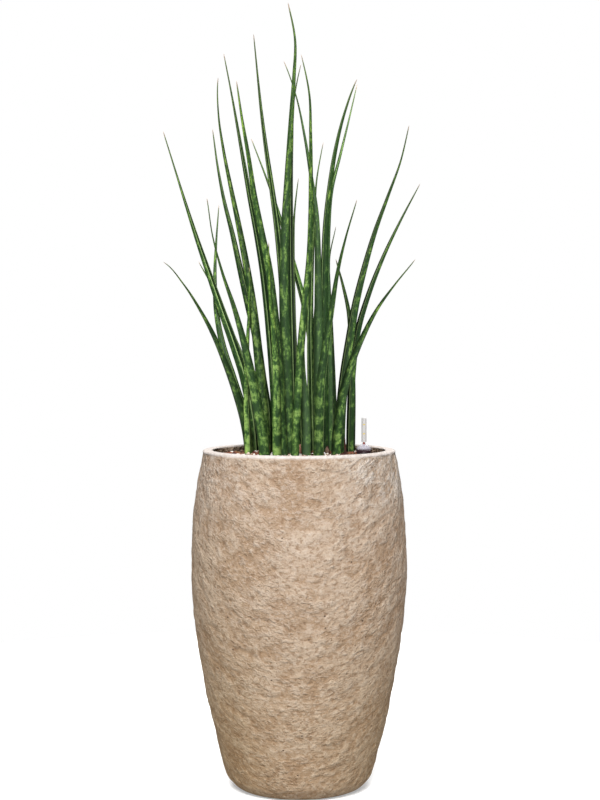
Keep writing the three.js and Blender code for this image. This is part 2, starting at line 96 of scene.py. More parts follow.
DARKEST_PAINTED_SIDE = 0.3  # least share of a leaf's brightness that its side in painted shade keeps

# Per leaf: how light its markings are, how bright it is in all (its own tone, with painted shade or light for
# how much light reaches it), how much painted light makes it brighter on its left side (seen from the front)
# than on its right, how grey it looks, and how pale its margins are. The hidden leaves at the back have the
# usual look.
USUAL_LOOK = (0.46, 1.0, 0.0, 0.0, 0.6)
LEAF_LOOKS = {
    "leaf_01": (0.42, 1.15, 0.5, 0.0, 0.7),
    "leaf_02": (0.46, 0.75, 0.4, 0.0, 0.7),
    "leaf_03": (0.42, 1.10, 0.0, 0.0, 0.4),
    "leaf_04": (0.44, 1.00, 0.4, 0.1, 0.7),
    "leaf_05": (0.44, 1.12, 0.1, 0.0, 0.4),
    "leaf_06": (0.40, 0.90, 0.1, 0.0, 0.7),
    "leaf_07": (0.52, 0.70, 0.4, 0.0, 0.5),
    "leaf_08": (0.38, 0.88, 0.0, 0.0, 0.5),
    "leaf_09": (0.50, 1.08, 0.4, 0.1, 0.7),
    "leaf_10": (0.44, 0.76, 0.0, 0.0, 0.6),
    "leaf_11": (0.46, 1.35, -0.5, 0.0, 0.6),
    "leaf_12": (0.47, 0.97, -0.2, 0.2, 0.8),
    "leaf_13": (0.40, 1.12, -0.3, 0.4, 0.8),
    "leaf_14": (0.30, 0.68, 0.3, 0.0, 0.8),
    "leaf_15": (0.52, 0.95, 0.0, 0.0, 0.4),
    "leaf_16": (0.46, 1.00, 0.2, 0.0, 0.6),
    "leaf_17": (0.44, 1.20, 0.0, 0.0, 0.6),
    "leaf_18": (0.36, 0.95, -0.3, 0.0, 0.9),
    "leaf_19": (0.42, 1.85, -0.3, 0.5, 0.6),
    "leaf_20": (0.44, 0.80, -1.0, 0.1, 0.9),
    "leaf_21": (0.42, 0.78, -0.9, 0.0, 0.8),
    "leaf_22": (0.45, 0.98, -0.9, 0.0, 1.0),
    "leaf_23": (0.45, 0.84, -0.3, 0.1, 1.0),
    "leaf_24": (0.42, 0.75, 0.3, 0.0, 0.6),
    "leaf_25": (0.42, 0.58, 0.0, 0.0, 0.6),
    "leaf_26": (0.53, 1.04, 0.5, 0.1, 0.4),
    "leaf_27": (0.56, 1.10, 0.6, 0.0, 0.5),
    "leaf_28": (0.42, 1.02, -0.2, 0.6, 0.3),
}

# Light bands that stand out on a leaf: (height, half of the band's length), in millimetres.
LIGHT_BANDS = {
    "leaf_04": [(838, 9), (796, 17), (746, 12), (701, 12)],
    "leaf_27": [(788, 7), (771, 9), (750, 12), (727, 12), (700, 8), (678, 9)],
    "leaf_26": [(868, 10), (842, 7), (774, 9), (736, 9), (716, 8), (680, 8)],
    "leaf_22": [(758, 9), (703, 11)],
    "leaf_23": [(776, 12), (740, 8), (713, 9), (684, 9)],
}

# ---------- noise for shapes ----------


def lattice(ix, iy, iz, seed):
    """Pseudo-random numbers from 0 to 1 at whole-number points, by a hash of their coordinates."""
    n = (ix * 374761393 + iy * 668265263 + iz * 1442695041 + seed * 974711) & 0xFFFFFFFF
    n = ((n ^ (n >> 13)) * 1274126177) & 0xFFFFFFFF
    return ((n ^ (n >> 16)) & 0xFFFFFF) / 0xFFFFFF


def noise(points, seed):
    """Smooth noise from -1 to 1 at points, an (n, 3) array."""
    base = np.floor(points).astype(np.int64)
    part = points - base
    part = part * part * part * (part * (part * 6 - 15) + 10)
    total = np.zeros(len(points))
    for corner in range(8):
        step = np.array([corner & 1, (corner >> 1) & 1, (corner >> 2) & 1])
        weight = np.prod(np.where(step, part, 1 - part), axis=1)
        total += weight * lattice(*(base + step).T, seed)
    return total * 2 - 1


def smoothstep(low, high, value):
    share = np.clip((value - low) / (high - low), 0, 1)
    return share * share * (3 - 2 * share)


# ---------- meshes ----------


def add_object(name, data):
    made = bpy.data.objects.new(name, data)
    bpy.context.scene.collection.objects.link(made)
    return made


def add_mesh(name, vertices, faces, material, body, node=None, smooth=True):
    """A mesh object from points in millimetres that rides on a body of the frame."""
    mesh = bpy.data.meshes.new(name)
    mesh.from_pydata((np.asarray(vertices) * MM).tolist(), [], faces)
    mesh.validate()
    mesh.polygons.foreach_set("use_smooth", [smooth] * len(mesh.polygons))
    mesh.materials.append(material)
    made = add_object(name, mesh)
    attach(made, body)
    if node:
        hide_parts(node)
    return made


def add_values(made, name, values):
    """Values at the points of a mesh that its material reads: one number or three each."""
    values = np.asarray(values, np.float32)
    kind, field = ("FLOAT", "value") if values.ndim == 1 else ("FLOAT_VECTOR", "vector")
    made.data.attributes.new(name, kind, "POINT").data.foreach_set(field, values.ravel())


def grid_faces(rows, columns):
    """Quads between rows of points that go round and close on themselves."""
    faces = []
    for row in range(rows - 1):
        low = row * columns
        for column in range(columns):
            after = (column + 1) % columns
            faces.append((low + column, low + after, low + columns + after, low + columns + column))
    return faces


def closed_faces(rows, columns, first_end, last_end):
    """The same quads, and a fan of triangles round a middle point at each end."""
    faces = grid_faces(rows, columns)
    last = (rows - 1) * columns
    for column in range(columns):
        after = (column + 1) % columns
        faces += [(after, column, first_end), (last + column, last + after, last_end)]
    return faces


WELD_PLACES = 1e5  # to the metre, so points within 0.01 mm are one


def welded(node):
    """Corner points of a node in millimetres, each place once, and which ones an edge joins to each."""
    mesh = NODES[node].data
    place, points, index = {}, [], []
    for vertex in mesh.vertices:
        key = tuple(round(c * WELD_PLACES) for c in vertex.co)
        if key not in place:
            place[key] = len(points)
            points.append(np.array(vertex.co) / MM)
        index.append(place[key])
    joined = [set() for _ in points]
    for edge in mesh.edges:
        a, b = (index[v] for v in edge.vertices)
        if a != b:
            joined[a].add(b)
            joined[b].add(a)
    return np.array(points), joined


def curve(knots, values, tangents, at):
    """Cubic curve through values at knots with these tangents, read at the given places."""
    piece = np.clip(np.searchsorted(knots, at, side="right") - 1, 0, len(knots) - 2)
    width = np.diff(knots)[piece]
    t = (at - knots[piece]) / width
    if values.ndim > 1:
        width, t = width[:, None], t[:, None]
    return (
        (2 * t**3 - 3 * t**2 + 1) * values[piece]
        + (t**3 - 2 * t**2 + t) * width * tangents[piece]
        + (3 * t**2 - 2 * t**3) * values[piece + 1]
        + (t**3 - t**2) * width * tangents[piece + 1]
    )


def smooth_between(knots, values, at):
    """Smooth curve through rows of values."""
    steps = np.diff(knots)[:, None]
    slopes = np.diff(values, axis=0) / steps
    tangents = np.empty_like(values)
    tangents[0], tangents[-1] = slopes[0], slopes[-1]
    tangents[1:-1] = (slopes[:-1] * steps[1:] + slopes[1:] * steps[:-1]) / (steps[1:] + steps[:-1])
    return curve(knots, values, tangents, at)


def steady_between(knots, values, at):
    """Curve through values that never goes beyond them."""
    slopes = np.diff(values) / np.diff(knots)
    tangents = np.zeros_like(values)
    tangents[0], tangents[-1] = slopes[0], slopes[-1]
    before, after = slopes[:-1], slopes[1:]
    even = before * after > 0
    tangents[1:-1][even] = 2 * before[even] * after[even] / (before[even] + after[even])
    return curve(knots, values, tangents, at)


def along(points):
    """Distance of each point from the first one along the line through them."""
    return np.r_[0, np.cumsum(norm(np.diff(points, axis=0), axis=1))]


def turned(profile, columns, centre=(0, 0)):
    """Points of a profile of (radius, height) turned about an upright axis, row by row."""
    profile = np.asarray(profile, float)
    angle = np.linspace(0, 2 * math.pi, columns, endpoint=False)
    x = np.outer(profile[:, 0], np.cos(angle)) + centre[0]
    y = np.outer(profile[:, 0], np.sin(angle)) + centre[1]
    z = np.repeat(profile[:, 1:2], columns, axis=1)
    return np.stack([x, y, z], axis=2).reshape(-1, 3)


# ---------- materials ----------


def screen(red, green, blue, share=1.0):
    """Linear colour of a colour given as on a screen, 0 to 255."""
    return tuple(((c / 255) ** 2.2) * share for c in (red, green, blue)) + (1.0,)


class Look:
    """One procedural material, with short names for its nodes."""

    def __init__(self, name, roughness=0.8, specular=0.5):
        self.material = bpy.data.materials.new(name)
        self.material.use_nodes = True
        self.tree = self.material.node_tree
        self.shader = self.tree.nodes["Principled BSDF"]
        self.shader.inputs["Roughness"].default_value = roughness
        self.shader.inputs["Specular IOR Level"].default_value = specular

    def put(self, socket, value):
        if isinstance(value, bpy.types.NodeSocket):
            self.tree.links.new(value, socket)
        else:
            socket.default_value = value

    def node(self, kind, **inputs):
        """A new node with these inputs. A blank in an input's name is written as _ here."""
        made = self.tree.nodes.new("ShaderNode" + kind)
        for name, value in inputs.items():
            self.put(made.inputs[name.replace("_", " ")], value)
        return made

    def place(self):
        """The place on the object, in metres."""
        return self.node("TexCoord").outputs["Object"]

    def values(self, name, kind="Fac"):
        """What add_values has put on the mesh."""
        node = self.node("Attribute")
        node.attribute_name = name
        return node.outputs[kind]

    def mapped(self, vector, scale, shift=(0, 0, 0)):
        return self.node("Mapping", Vector=vector, Scale=scale, Location=shift).outputs["Vector"]

    def noise(self, vector, scale, detail, roughness, distortion=0.0):
        return self.node("TexNoise", Vector=vector, Scale=scale, Detail=detail, Roughness=roughness,
                         Distortion=distortion).outputs["Fac"]

    def cells(self, vector, scale):
        return self.node("TexVoronoi", Vector=vector, Scale=scale).outputs["Distance"]

    def ramp(self, value, *stops):
        node = self.node("ValToRGB", Fac=value)
        while len(node.color_ramp.elements) < len(stops):
            node.color_ramp.elements.new(0.5)
        for element, (position, colour) in zip(node.color_ramp.elements, stops):
            element.position = position
            element.color = colour
        return node.outputs["Color"]

    def span(self, value, low, high, to_low=0.0, to_high=1.0):
        """The value, spread from low..high to to_low..to_high, smoothly and within them."""
        node = self.node("MapRange", Value=value, From_Min=low, From_Max=high, To_Min=to_low, To_Max=to_high)
        node.interpolation_type = "SMOOTHSTEP"
        return node.outputs["Result"]

    def calc(self, kind, first, second=0.0):
        node = self.node("Math")
        node.operation = kind
        self.put(node.inputs[0], first)
        self.put(node.inputs[1], second)
        return node.outputs["Value"]

    def times(self, first, second):
        return self.calc("MULTIPLY", first, second)

    def plus(self, first, second):
        return self.calc("ADD", first, second)

    def mix(self, share, first, second, blend="MIX"):
        """Two colours. The node's colour sockets go by number, as its other sockets have the same names."""
        node = self.node("Mix")
        node.data_type = "RGBA"
        node.blend_type = blend
        self.put(node.inputs[0], share)
        self.put(node.inputs[6], first)
        self.put(node.inputs[7], second)
        return node.outputs[2]

    def parts(self, vector):
        """The three numbers of a vector."""
        return tuple(self.node("SeparateXYZ", Vector=vector).outputs)

    def bump(self, height, depth, strength):
        node = self.node("Bump", Height=height, Strength=strength, Distance=depth)
        self.put(self.shader.inputs["Normal"], node.outputs["Normal"])

    def colour(self, value):
        self.put(self.shader.inputs["Base Color"], value)


# These multiply a colour.
PAINTED_SHADE_TINT = (0.72, 0.66, 0.5, 1)  # painted shade: the rock darker and warmer low down, on the left and low at the sides
PAINTED_LIGHT_TINT = (1.2, 1.32, 1.48, 1)  # painted light: the rock lighter and cooler at its upper sides, most on the right
TIP_TINT = (1.28, 1.28, 0.76, 1)  # the leaves towards their tips
SCUFF_TINT = 0.82  # the scuffs of plastics


def rock_colour(red, green, blue):
    return screen(red, green, blue, ROCK_SHARE)


def leaf_colour(red, green, blue):
    return screen(red, green, blue, LEAF_SHARE)


def planter_look():
    """Chipped rock with a pale lip and a rough wall inside, painted shade in its hollows, low down and on the
    left, and painted light on its ridges and upper sides.
    """
    look = Look("planter_rock", roughness=0.95, specular=0.12)
    relief = look.values("relief")
    flow = look.values("flow", "Vector")
    lip, inside, low = look.parts(look.values("zone", "Vector"))
    painted_side_light = look.values("painted_side_light")
    broad = look.noise(flow, 0.16, 3, 0.5, 0.6)
    patches = look.noise(flow, 0.5, 3, 0.55, 0.6)
    chips = look.noise(flow, 1.15, 2, 0.5, 0.5)
    scales = look.noise(flow, 2.3, 2, 0.5, 0.4)
    specks = look.noise(flow, 3.6, 1, 0.5, 0.3)
    wisps = look.calc("ABSOLUTE", look.calc("SUBTRACT", look.noise(flow, 1.5, 3, 0.5, 1.0), 0.5))
    grit = look.noise(flow, 6.0, 2, 0.5)
    rough = look.span(broad, 0.62, 0.36, 0.45, 1.25)
    dent_shade = look.span(chips, 0.46, 0.34)
    nick_shade = look.span(scales, 0.44, 0.33)
    ridge_highlight = look.span(chips, 0.54, 0.68)
    # Painted shade and highlight: the rock is painted darker where its relief is deep and in the dents and
    # nicks of its bump, and paler on its proud ridges.
    rock = look.mix(look.span(relief, 0.3, 0.9), rock_colour(177, 149, 122), rock_colour(203, 182, 160))
    for share, colour in (
        (look.span(patches, 0.5, 0.36, 0, 0.4), (166, 137, 111)),
        (look.span(patches, 0.52, 0.66, 0, 0.4), (214, 197, 181)),
        (look.times(ridge_highlight, 0.4), (222, 206, 190)),
        (look.span(wisps, 0.03, 0.0, 0, 0.3), (228, 214, 202)),
        (look.times(nick_shade, 0.35), (150, 121, 96)),
        (look.times(dent_shade, 0.55), (144, 114, 89)),
        (look.span(specks, 0.36, 0.28, 0, 0.5), (132, 103, 80)),
        (look.span(grit, 0.3, 0.7, 0.1, 0), (140, 112, 88)),
    ):
        rock = look.mix(share, rock, rock_colour(*colour))
    # Painted shade: darker and warmer low down, on the left and low at the sides. Painted light: lighter and
    # cooler at the upper sides.
    rock = look.mix(look.times(low, 0.5), rock, PAINTED_SHADE_TINT, "MULTIPLY")
    rock = look.mix(painted_side_light, rock, PAINTED_LIGHT_TINT, "MULTIPLY")
    pits = look.span(look.cells(flow, 0.2), 0.055, 0.03)
    rock = look.mix(pits, rock, screen(66, 52, 44))
    pale = look.mix(look.span(chips, 0.35, 0.65), rock_colour(212, 199, 190), rock_colour(231, 222, 216))
    wall = look.mix(look.span(scales, 0.38, 0.62), screen(74, 56, 44), screen(176, 156, 136))
    look.colour(look.mix(inside, look.mix(lip, rock, pale), wall))
    fine = look.plus(chips, look.times(scales, 0.5))
    fine = look.plus(fine, look.times(grit, 0.1))
    fine = look.plus(look.times(fine, rough), look.times(patches, 1.2))
    calm = look.calc("SUBTRACT", 1.0, look.times(lip, 0.9))
    calm = look.plus(calm, look.times(inside, 0.8))
    look.bump(look.times(fine, calm), 0.0032, 1.0)
    return look.material


def leaf_look():
    """Green leaf with light bands low down and lengthwise patches above, painted shade in its channel, pale
    margins, and painted light and shade across it.
    """
    look = Look("leaf_green", roughness=0.5, specular=0.22)
    at = look.values("leaf_at", "Vector")
    turn = look.values("leaf_turn")
    light, tone_and_painted_shading, grey = look.parts(look.values("leaf_look", "Vector"))
    margin, tip, spot = look.parts(look.values("leaf_more", "Vector"))
    bands = look.noise(look.mapped(at, (0.55, 0.55, 0.62)), 1.0, 1, 0.5, 0.6)
    patches = look.noise(look.mapped(at, (1.15, 1.15, 0.42), shift=(7, 3, 5)), 1.0, 2, 0.45, 0.5)
    height = look.span(tip, 0.12, 0.35)
    bands = look.plus(look.times(bands, look.calc("SUBTRACT", 1.0, height)),
                     look.times(patches, height))
    jag = look.noise(look.mapped(at, (1.0, 1.0, 0.75)), 2.0, 2, 0.5, 0.6)
    fibres = look.noise(look.mapped(at, (3.2, 3.2, 0.12)), 1.0, 1, 0.5)
    mottle = look.noise(look.mapped(at, (1.0, 1.0, 0.6)), 6, 2, 0.5)
    ragged = look.span(jag, 0.3, 0.7, -0.1, 0.1)
    ragged = look.plus(ragged, look.span(fibres, 0.3, 0.7, -0.03, 0.03))
    level = look.plus(look.plus(bands, ragged), look.calc("SUBTRACT", light, 0.5))
    blotch = look.span(look.plus(spot, ragged), 0.38, 0.62, 0, 0.13)
    level = look.plus(level, blotch)
    stripes = look.noise(look.mapped(at, (0.7, 0.7, 2.3)), 1.0, 3, 0.6, 0.7)
    stripes = look.times(look.span(stripes, 0.49, 0.39, 0, 0.8), look.span(tip, 0.1, 0.6, 0.4, 1.0))
    green = look.ramp(
        level,
        (0.38, leaf_colour(40, 63, 33)),
        (0.49, leaf_colour(58, 84, 43)),
        (0.575, leaf_colour(89, 121, 58)),
        (0.73, leaf_colour(132, 162, 86)),
    )
    green = look.mix(look.span(mottle, 0.35, 0.6, 0.25, 0), green, leaf_colour(34, 62, 34))
    green = look.mix(stripes, green, leaf_colour(34, 62, 30))
    green = look.mix(look.span(tip, 0.45, 0.95, 0, 1), green, TIP_TINT, "MULTIPLY")
    green = look.mix(look.times(grey, 0.55), green, leaf_colour(80, 101, 72))
    # Painted shade: the channel is painted dark, where shade falls in it.
    green = look.mix(look.span(turn, 27, 14, 0, 0.8), green, leaf_colour(22, 46, 13))
    aside = look.calc("ABSOLUTE", look.calc("SUBTRACT", turn, MARGIN_DEG))
    line = look.times(look.span(aside, 9.0, 4.0), margin)
    green = look.mix(look.times(line, 0.95), green, leaf_colour(162, 190, 124))
    green = look.mix(look.span(tip, 0.90, 0.98, 0, 0.5), green, leaf_colour(104, 122, 70))
    green = look.mix(look.span(tip, 0.975, 0.995), green, leaf_colour(176, 152, 132))
    # Painted light and shade: the leaf's colour times its own tone, its painted side light and its painted
    # shade.
    look.colour(look.mix(1.0, green, tone_and_painted_shading, "MULTIPLY"))
    look.bump(look.plus(look.times(mottle, 0.5), jag), 0.0005, 0.5)
    return look.material


def sheath_look():
    look = Look("dry_sheath", roughness=0.8, specular=0.2)
    place = look.place()
    fibres = look.noise(look.mapped(place, (1, 1, 0.12)), 900, 3, 0.6)
    blotches = look.noise(place, 160, 3, 0.6)
    brown = look.ramp(
        fibres, (0.3, screen(28, 17, 13)), (0.55, screen(66, 38, 29)), (0.8, screen(104, 72, 56)))
    look.colour(look.mix(look.span(blotches, 0.42, 0.62, 0, 0.8), brown, screen(58, 46, 39)))
    look.bump(look.plus(fibres, blotches), 0.0012, 1.0)
    return look.material


def soil_look():
    look = Look("soil", roughness=0.95, specular=0.2)
    place = look.place()
    lumps = look.noise(place, 160, 5, 0.7)
    look.colour(look.ramp(
        lumps, (0.3, screen(38, 28, 22)), (0.55, screen(74, 54, 42)), (0.8, screen(112, 88, 68))))
    look.bump(lumps, 0.004, 1.0)
    return look.material


def granule_look():
    look = Look("granules", roughness=0.9, specular=0.2)
    place = look.place()
    tint = look.values("tint", "Color")
    pores = look.noise(place, 700, 3, 0.7)
    look.colour(look.mix(look.span(pores, 0.35, 0.65, 0.35, 0), tint, screen(90, 74, 62), "MULTIPLY"))
    look.bump(pores, 0.0008, 1.0)
    return look.material


def plain_look(name, colour, roughness, specular=0.5):
    """A moulded plastic with faint scuffs."""
    look = Look(name, roughness, specular)
    haze = look.noise(look.place(), 220, 3, 0.6)
    darker = tuple(c * SCUFF_TINT for c in colour[:3]) + (1.0,)
    look.colour(look.mix(haze, darker, colour))
    look.bump(haze, 0.0002, 0.3)
    return look.material


def clear_look():
    """Clear plastic, milky along the sight tube, and painted dark at the skirt of the cap: a painted
    refraction of the dark pipe behind it.
    """
    look = Look("gauge_clear", roughness=0.3, specular=0.25)
    cover, milky, painted_refraction = look.parts(look.values("clear", "Vector"))
    hue = look.mix(milky, screen(190, 187, 198), screen(182, 180, 179))
    # Painted refraction: the skirt is painted dark, as the dark pipe seen through the cap.
    look.colour(look.mix(painted_refraction, hue, screen(62, 46, 52)))
    look.put(look.shader.inputs["Alpha"], cover)
    return look.material


def float_look():
    """Red pointer, lighter at its top, on a grey rod and float."""
    look = Look("gauge_red", roughness=0.45, specular=0.15)
    height = look.values("height")
    near_top = look.span(height, POINTER_TOP - 2.5, POINTER_TOP - 0.5)
    red = look.mix(near_top, screen(112, 14, 4), screen(196, 84, 22))
    look.colour(look.mix(look.span(height, POINTER_FOOT - 0.4, POINTER_FOOT - 0.1), screen(58, 50, 60), red))
    return look.material


ROCK = planter_look()
GREEN = leaf_look()
DRY = sheath_look()
SOIL = soil_look()
GRANULES = granule_look()
DARK_PLASTIC = plain_look("gauge_dark", screen(52, 38, 43), 0.34, 0.4)
RED = float_look()
YELLOW = plain_look("gauge_marks", screen(196, 168, 74), 0.5)
CLEAR = clear_look()

# ---------- planter ----------


def planter_chain():
    """Profile of the planter in the frame, from the edge of its flat base over the lip to the floor."""
    points, joined = welded("planter")
    radius = np.hypot(points[:, 0], points[:, 1])
    angle = np.degrees(np.arctan2(points[:, 0], -points[:, 1]))
    at_front = (abs(angle) < 0.5) & (radius > 1)
    meridian = set(np.flatnonzero(at_front))
    here = min(meridian, key=lambda i: (points[i][2], -radius[i]))
    chain = [here]
    while True:
        ahead = [i for i in joined[here] if i in meridian and i not in chain]
        if not ahead:
            break
        here = min(ahead, key=lambda i: norm(points[i] - points[here]))
        chain.append(here)
    return np.array([(radius[i], points[i][2]) for i in chain])


def fine_profile(chain):
    """The same profile with close rows where the wall is seen.

    Also each row's outward direction, and which rows are outside.
    """
    distance = along(chain)
    height = chain[:, 1]
    top = int(np.argmax(height))
    lip_start = int(np.argmax(height > LIP_BAND[0]))
    past_lip = np.arange(len(chain)) > top
    lip_end = int(np.argmax(past_lip & (height < LIP_EDGE[1])))
    inner = int(np.argmax(past_lip & (height < FINE_INSIDE)))
    lip_from, lip_to = distance[lip_start] - LIP_MARGIN, distance[lip_end] + LIP_MARGIN
    rows = np.r_[
        np.arange(0, lip_from, WALL_SPACING),
        np.arange(lip_from, lip_to, LIP_SPACING),
        np.arange(lip_to, distance[inner], WALL_SPACING),
        distance[inner:],
    ]
    rows = np.unique(np.round(rows, 3))
    curved = smooth_between(distance, chain, rows)
    straight = np.stack([np.interp(rows, distance, part) for part in chain.T], axis=1)
    fine = np.where((rows < distance[lip_start])[:, None], curved, straight)
    run = np.gradient(fine, axis=0)
    outward = np.stack([run[:, 1], -run[:, 0]], axis=1)
    return fine, outward / norm(outward, axis=1, keepdims=True), rows <= distance[top]


def rock_flow(points):
    """The points in a space where the chips of the rock face are as high as long."""
    slanted = points[:, 2] + CHIP_SLANT * points[:, 1]
    return np.stack([points[:, 0], points[:, 1], slanted * CHIP_FLATNESS], axis=1)


def rock_relief(flow):
    """Height of the chipped face, 0 at the deepest and 1 at the most proud, from noise of several sizes."""
    drift = np.stack([noise(flow / 40, 3), noise(flow / 40, 4), noise(flow / 40, 5)], axis=1)
    bent = flow + drift * 14
    broad = noise(bent / 95, 11)
    lumps = noise(bent / 34, 12)
    chips = noise(bent / 15 + 9, 13)
    flakes = 1 - 2 * abs(noise(bent / 22 + 5, 14))
    height = 0.3 * broad + 0.28 * lumps + 0.24 * chips + 0.18 * flakes
    return np.clip(0.55 + 0.68 * height, 0, 1)


def rock_painted_shading(height, rightward):
    """Painted shade and light on the rock at a height and a side (-1 left to 1 right): how much darker and
    warmer low down and on the left, and how much lighter at the upper sides.
    """
    low = smoothstep(600, 0, height) + 0.5 * smoothstep(640, 480, height) * smoothstep(-0.1, -0.9, rightward)
    low += 0.7 * smoothstep(420, 80, height) * rightward**2 * (1 + 0.25 * rightward)
    painted_light_sides = smoothstep(0.2, 0.85, rightward) + 0.4 * smoothstep(-0.4, -0.9, rightward)
    return low, painted_light_sides * smoothstep(540, 640, height)


def build_planter():
    profile, outward, is_outside = fine_profile(planter_chain())
    points = turned(profile, WALL_COLUMNS)
    rows = np.repeat(np.arange(len(profile)), WALL_COLUMNS)
    height = points[:, 2]
    outside = is_outside[rows]
    lip = np.where(outside, smoothstep(*LIP_BAND, height), smoothstep(*LIP_EDGE, height))
    inside = np.where(outside, 0, 1 - lip)
    flow = rock_flow(points)
    relief = rock_relief(flow)
    face = smoothstep(0, FOOT_CALM, height) * (1 - lip) * outside
    seen_inside = inside * (height > ROUGH_INSIDE)
    depth = RELIEF_DEPTH * face + LIP_UNEVENNESS * lip + INSIDE_DEPTH * seen_inside
    inward = -(1 - relief) * depth
    across = outward[rows, 0][:, None] * points[:, :2]
    across /= np.maximum(np.hypot(points[:, 0], points[:, 1]), 1e-9)[:, None]
    points[:, :2] += inward[:, None] * across
    points[:, 2] += inward * outward[rows, 1]
    rightward = points[:, 0] / np.maximum(np.hypot(points[:, 0], points[:, 1]), 1e-9)
    # Painted shade low down and on the left, and painted light at the upper sides, by where each point is.
    low, painted_side_light = rock_painted_shading(height, rightward)
    count = len(points)
    points = np.r_[points, [[0, 0, profile[0][1]], [0, 0, profile[-1][1]]]]
    faces = closed_faces(len(profile), WALL_COLUMNS, count, count + 1)
    made = add_mesh("planter_rock_face", points, faces, ROCK, PLANT_BODY, "planter")
    add_values(made, "relief", np.r_[relief, 0.5, 0.5])
    add_values(made, "flow", np.r_[flow, np.zeros((2, 3))] / FLOW_UNIT)
    add_values(made, "zone", np.r_[np.stack([lip, inside, low], axis=1), np.zeros((2, 3))])
    add_values(made, "painted_side_light", np.r_[painted_side_light * outside, 0, 0])


# ---------- leaves ----------


LEAST_CORNERS = 8  # of a ring


def leaf_rings(node):
    """Middle, radius and channel direction of each ring of a leaf in the frame, from the root to the tip.

    The rings are the layers of points met on the way down from the tip. The middle of an end isn't a ring.
    """
    points, joined = welded(node)
    tip = int(np.argmax(points[:, 2]))
    seen, layer, rings = {tip}, [tip], []
    while layer:
        layer = sorted({other for i in layer for other in joined[i]} - seen)
        seen.update(layer)
        if len(layer) >= LEAST_CORNERS:
            rings.append(points[layer])
    found = []
    for ring in rings:
        middle = ring.mean(axis=0)
        floor = ring[np.argmin(norm(ring - middle, axis=1))]
        back = ring[np.argmax(norm(ring - floor, axis=1))]
        reach = norm(floor - back) / (2 - CHANNEL_DEPTH)
        facing = (floor - back) / norm(floor - back)
        found.append(np.r_[back + facing * reach, reach, facing])
    found.reverse()
    found.append(np.r_[points[tip], 0, found[-1][4:]])
    return np.array(found)


def section_angles():
    """Angles from the channel's middle, closer together across the channel."""
    near = np.arange(-CLOSE_DEG, CLOSE_DEG + 1, CLOSE_STEP_DEG)
    far = np.linspace(CLOSE_DEG, 360 - CLOSE_DEG, WIDE_STEPS + 1)[1:-1]
    return np.r_[near, far]


def from_channel(angle):
    """The same angles as -180 to 180 degrees from the channel's middle."""
    return (angle + 180) % 360 - 180


def section_reach(angle):
    """Share of the leaf's radius at each angle: channel, raised margins and faint ribs."""
    off = from_channel(angle)
    channel = CHANNEL_DEPTH * np.exp(-((off / CHANNEL_HALF_DEG) ** 2))
    margins = MARGIN_RISE * np.exp(-(((abs(off) - MARGIN_DEG) / MARGIN_HALF_DEG) ** 2))
    wave = 0.5 - 0.5 * np.cos(np.radians(off) * RIB_COUNT * 2)
    return 1 - channel + margins - RIB_DEPTH * wave * smoothstep(*RIB_START_DEG, abs(off))


ANGLES = section_angles()
REACH = section_reach(ANGLES)


def build_leaf(node, order):
    rings = leaf_rings(node)
    distance = along(rings[:, :3])
    collar = distance[1]
    share = np.linspace(0, 1, LEAF_STATIONS + 1)[1:]
    stations = np.r_[
        np.linspace(0, collar, BURIED_STATIONS),
        collar + (distance[-1] - collar) * (1 - (1 - share) ** TIP_CROWDING),
    ][:-1]
    fine = smooth_between(distance, rings, stations)
    centre, facing = fine[:, :3], fine[:, 4:]
    radius = np.maximum(steady_between(distance, rings[:, 3], stations), LEAST_RADIUS)
    heading = np.gradient(centre, axis=0)
    heading /= norm(heading, axis=1, keepdims=True)
    facing = facing - heading * np.sum(facing * heading, axis=1, keepdims=True)
    facing /= norm(facing, axis=1, keepdims=True)
    side = np.cross(heading, facing)
    turn = np.radians(ANGLES)
    reach = radius[:, None] * REACH[None, :]
    points = (
        centre[:, None, :]
        + facing[:, None, :] * (reach * np.cos(turn))[:, :, None]
        + side[:, None, :] * (reach * np.sin(turn))[:, :, None]
    )
    rows, columns = reach.shape
    end = rows * columns
    flat = np.r_[points.reshape(-1, 3), [rings[-1][:3], rings[0][:3]]]
    faces = closed_faces(rows, columns, end + 1, end)
    made = add_mesh(node + "_blade", flat, faces, GREEN, PLANT_BODY, node)
    foot = radius[0] / MARKING_UNIT
    length = (stations - collar) / MARKING_UNIT
    at = np.stack([
        np.tile(np.cos(turn) * foot, rows),
        np.tile(np.sin(turn) * foot, rows),
        np.repeat(length, columns) + order * MARKING_SHIFT,
    ], axis=1)
    add_values(made, "leaf_at", np.r_[at, [at[-1], at[0]]])
    off = abs(from_channel(ANGLES))
    add_values(made, "leaf_turn", np.r_[np.tile(off, rows), off[0], off[0]])
    light, tone_and_painted_lighting, left, grey, margin = LEAF_LOOKS.get(node, USUAL_LOOK)
    count = len(flat)
    # Painted light and shade: a leaf is painted lighter on its side turned to -X, as if lit from there, and
    # darker on the other; its brightness in all also carries painted shade.
    toward_painted_light = -(facing[:, :1] * np.cos(turn) + side[:, :1] * np.sin(turn))
    tone_and_painted_shading = np.r_[(tone_and_painted_lighting * np.maximum(1 + left * toward_painted_light, DARKEST_PAINTED_SIDE)).ravel(), tone_and_painted_lighting, tone_and_painted_lighting]
    add_values(made, "leaf_look", np.stack([np.full(count, light), tone_and_painted_shading, np.full(count, grey)], axis=1))
    tip = np.r_[np.repeat(stations / distance[-1], columns), 1, 0]
    high = centre[:, 2]
    bands = [np.clip(1 - abs(high - middle) / (2 * half), 0, 1) for middle, half in LIGHT_BANDS.get(node, [])]
    spot = np.max(bands, axis=0) if bands else np.zeros(rows)
    more = np.stack([np.full(count, margin), tip, np.r_[np.repeat(spot, columns), 0, 0]], axis=1)
    add_values(made, "leaf_more", more)


# ---------- substrate ----------


